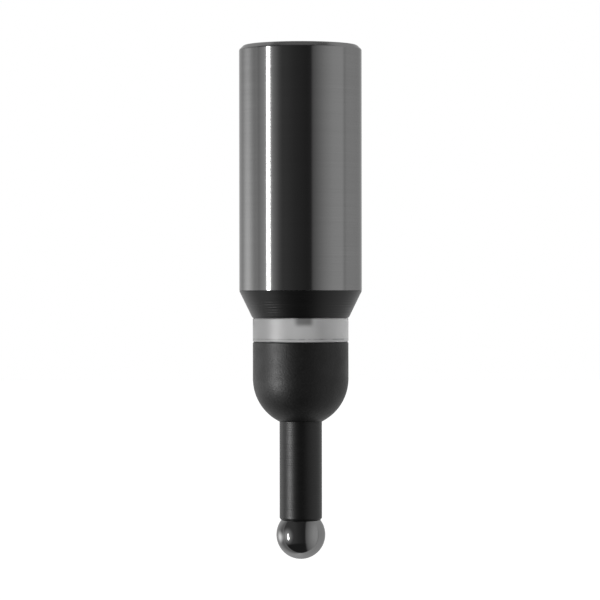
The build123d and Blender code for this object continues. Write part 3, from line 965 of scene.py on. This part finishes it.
bpy.ops.object.select_all(action="DESELECT")
bpy.ops.mesh.primitive_cube_add(size=1, location=led_middle, scale=(led_width, led_depth, led_height))
led = start_piece("lamp_1")
for finish in (lamp_case, lamp_lens, brass):
    bpy.ops.object.material_slot_add()
    led.material_slots[-1].material = finish
bpy.ops.mesh.bevel(offset=led_edge, segments=2, affect="EDGES")
print("front faces:", pick(led, "FACE", lambda point: abs(point.y + led_front) < TINY))
bpy.ops.mesh.inset(thickness=frame_width)
bpy.ops.mesh.inset(thickness=lens_slope, depth=-lens_depth)
led.active_material_index = 1
bpy.ops.object.material_slot_assign()
bpy.ops.mesh.inset(thickness=lens_border, depth=lens_rise)
for side in (-1, 1):
    pick(led, "FACE", lambda point: abs(point.x - side * led_width / 2) < TINY)
    bpy.ops.mesh.inset(thickness=terminal_margin)
    bpy.ops.mesh.inset(thickness=terminal_slope, depth=-terminal_depth)
    led.active_material_index = 2
    bpy.ops.object.material_slot_assign()
bpy.ops.object.mode_set(mode="OBJECT")
led.rotation_euler.z = led_angle
bpy.ops.object.transform_apply(rotation=True)

# %% [markdown]
# The other three are copies, each a quarter turn further round the axis, with the turn put into the copy's mesh.
# %% Copy the lamp round the core
lamps = [led]
for quarter in (1, 2, 3):
    select_alone(led)
    bpy.ops.object.duplicate()
    lamp = bpy.context.object
    lamp.name = f"lamp_{quarter + 1}"
    lamp.rotation_euler.z = radians(90) * quarter
    bpy.ops.object.transform_apply(rotation=True)
    lamps.append(lamp)
for number, lamp in enumerate(lamps, 1):
    select_alone(lamp)
    bpy.ops.object.mode_set(mode="EDIT")
    finish_piece(lamp, None, f"led_{number}", "head")

# %% [markdown]
# ## Spring
# A close-wound tension spring pulls the ball into its seat, and lets it tip when it is pushed too far. The wire is
# a small ring of twelve points that the Screw modifier winds into a helix. At either end the ring is then bent
# upright with spin, drawn along the leg with extrude, and led round the hook with spin again.
# %% Wind the spring's coil
wire_r = 0.295 * MM
wire_sides = 12
cad_wire_r = 0.3 * MM
coil_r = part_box("tension_spring")[1].x - cad_wire_r
coil_pitch = 0.6 * MM
coil_lift = 3.1 * MM
coil_start_z = tube_end_z + coil_lift
bend_r = 0.4 * MM
leg_r = hypot(coil_r, bend_r)
leg_angle = atan2(bend_r, coil_r)
full_turns = 13
steps_a_coil = 40
coil_turns = full_turns - leg_angle / pi
coil_steps = round(steps_a_coil * coil_turns)
coil_middle_z = coil_start_z + coil_pitch * coil_turns / 2
start_point = Vector((coil_r * cos(leg_angle), coil_r * sin(leg_angle), coil_start_z))

bpy.ops.object.select_all(action="DESELECT")
bpy.ops.mesh.primitive_circle_add(
    vertices=wire_sides, radius=wire_r, location=start_point, rotation=(radians(90), 0, leg_angle)
)
spring = start_piece("wound_spring")
bpy.ops.object.mode_set(mode="OBJECT")
modify(
    spring,
    "SCREW",
    axis="Z",
    angle=2 * pi * coil_turns,
    screw_offset=coil_pitch * coil_turns,
    steps=coil_steps,
    render_steps=coil_steps,
)
bpy.ops.object.mode_set(mode="EDIT")
print("wire points:", len(bmesh.from_edit_mesh(spring.data).verts))

# %% [markdown]
# The wire's upper end rises to the eye of the anchor. Its lower end leans in towards the axis, because it has to
# pass through the narrow bore of the ball, and its smaller hook goes through the eye that is pressed in there.
# Spin's angle counts clockwise round its axis, so the bends that run the other way have a minus sign.
# %% Helpers: bend the wire
hook_sweep = radians(210)
bend_steps = 8
hook_steps = 28


def pick_wire_end(upper):
    """Selects the ring of points at the wire's open upper or lower end, and returns its middle."""
    bpy.ops.mesh.select_mode(type="VERT")
    bpy.ops.mesh.select_all(action="DESELECT")
    shape = bmesh.from_edit_mesh(spring.data)
    ends = [point for point in shape.verts if point.is_boundary and (point.co.z > coil_middle_z) == upper]
    for point in ends:
        point.select_set(True)
    shape.select_flush_mode()
    bmesh.update_edit_mesh(spring.data)
    return sum((point.co for point in ends), Vector()) / len(ends)


def bend_upright(upper):
    """Bends the wire's end away from the coil, straight up or down, and returns the new end's middle."""
    end = pick_wire_end(upper)
    centre = end + Vector((0, 0, bend_r if upper else -bend_r))
    bpy.ops.mesh.spin(steps=bend_steps, angle=-radians(90), center=centre, axis=(end.x, end.y, 0))
    end = pick_wire_end(upper)
    print("leg starts at mm:", [round(value / MM, 3) for value in end])
    return end


def bend_hook(centre_z, axis):
    """Leads the wire's selected end round a hook and closes it."""
    bpy.ops.mesh.spin(steps=hook_steps, angle=-hook_sweep, center=(0, 0, centre_z), axis=axis)
    bpy.ops.mesh.edge_face_add()


# %% [markdown]
# Both hooks lie in the plane through the axis that the legs stand in. The eyes' heights come from the machined
# pieces that hold them, so that the wire passes through their middles.
# %% Bend the spring's legs and hooks
eye_r = 1.05 * MM
upper_eye_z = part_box("spring_anchor")[0].z + eye_r
lower_eye_z = eye_high.z - eye_r
lower_hook_r = 0.8 * MM
lean_gap = 0.8 * MM
upper_hook_z = upper_eye_z - leg_r
lower_hook_z = lower_eye_z + lower_hook_r
lean_end_z = lower_hook_z + lean_gap

end = bend_upright(upper=True)
extrude((0, 0, upper_hook_z - end.z))
bend_hook(upper_hook_z, axis=(0, -1, 0))

end = bend_upright(upper=False)
extrude((lower_hook_r - end.x, 0, lean_end_z - end.z))
extrude((0, 0, lower_hook_z - lean_end_z))
bend_hook(lower_hook_z, axis=(0, 1, 0))
finish_piece(spring, spring_steel, "tension_spring", smooth_angle=60)
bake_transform(spring)

# %% [markdown]
# ## The pieces that keep their machined shape
# The core, the seal, the contacts, the board, its resistor, the battery and its liner are simple turned or stamped
# pieces, nearly all of them hidden. Their machined shapes are right as they are, so they only get their finishes.
# Each finish goes into the material slot of the piece itself.
# %% Dress the nodes that keep their shape
kept_finishes = {
    pale_plastic: ("led_carrier",),
    brass: ("board_lock_ring", "battery_contact", "probe_contact_pin", "contact_plug", "spring_anchor"),
    spring_steel: ("battery_spring", "ball_eye"),
    rubber: ("seal_ring",),
    white_liner: ("battery_liner",),
    ceramic: ("resistor",),
    board_green: ("circuit_board",),
    battery_jacket: ("battery",),
}
for finish, names in kept_finishes.items():
    for name in names:
        nodes[name].material_slots[0].material = finish
    print(finish.name, "for", *names)
